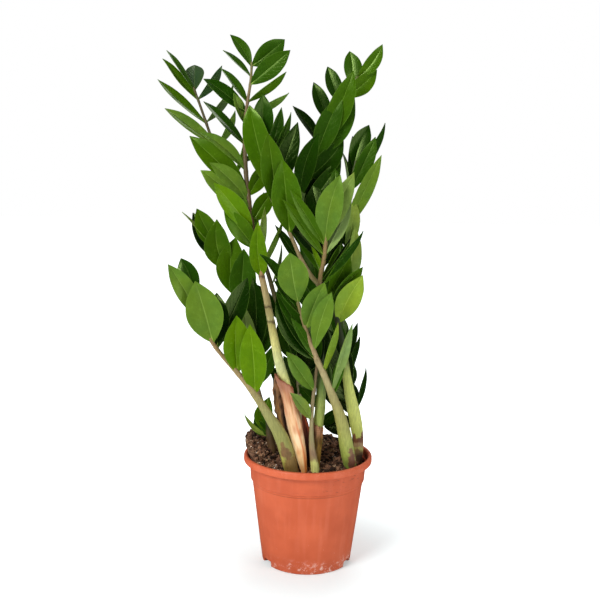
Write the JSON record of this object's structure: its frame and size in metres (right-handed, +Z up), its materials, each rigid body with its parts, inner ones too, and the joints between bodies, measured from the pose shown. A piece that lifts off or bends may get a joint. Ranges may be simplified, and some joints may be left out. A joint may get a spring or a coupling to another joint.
{
  "type": "potted zz plant",
  "caption": "Potted zz plant: upright arching stems with pointed oval leaflets in pairs, rising from heaped soil in a round terracotta-coloured plastic nursery pot.",
  "frame": {"origin": "centre of the pot's flat underside, on the surface that the pot stands on", "axes": "+Z up along the pot's axis, -Y toward the front of the plant, +X to the viewer's right"},
  "size_m": [0.3099, 0.2211, 0.6841],
  "materials": {
    "pot": "satin terracotta-coloured plastic, lightly scuffed near the foot",
    "soil": "rough peat soil with pale chips",
    "sheath_pale": "dry, papery, peach",
    "sheath_brown": "dry, papery, brown",
    "frond_green": "waxy, glossy",
    "frond_cream": "waxy, glossy, with a cream stalk",
    "frond_dark": "waxy, glossy, dark"
  },
  "bodies": {
    "root": {"pot": "pot", "soil": "soil", "sheath_pale": "sheath_pale", "sheath_brown": "sheath_brown", "sheath_centre": "sheath_brown", "frond_front_left": "frond_green", "frond_cream": "frond_cream", "frond_small": "frond_green", "frond_centre": "frond_green", "frond_front_right": "frond_green", "frond_stout": "frond_green", "frond_back_left": "frond_dark", "frond_top_right": "frond_green", "frond_left": "frond_dark", "frond_right": "frond_dark", "sprout": "frond_dark"}
  },
  "joints": []
}
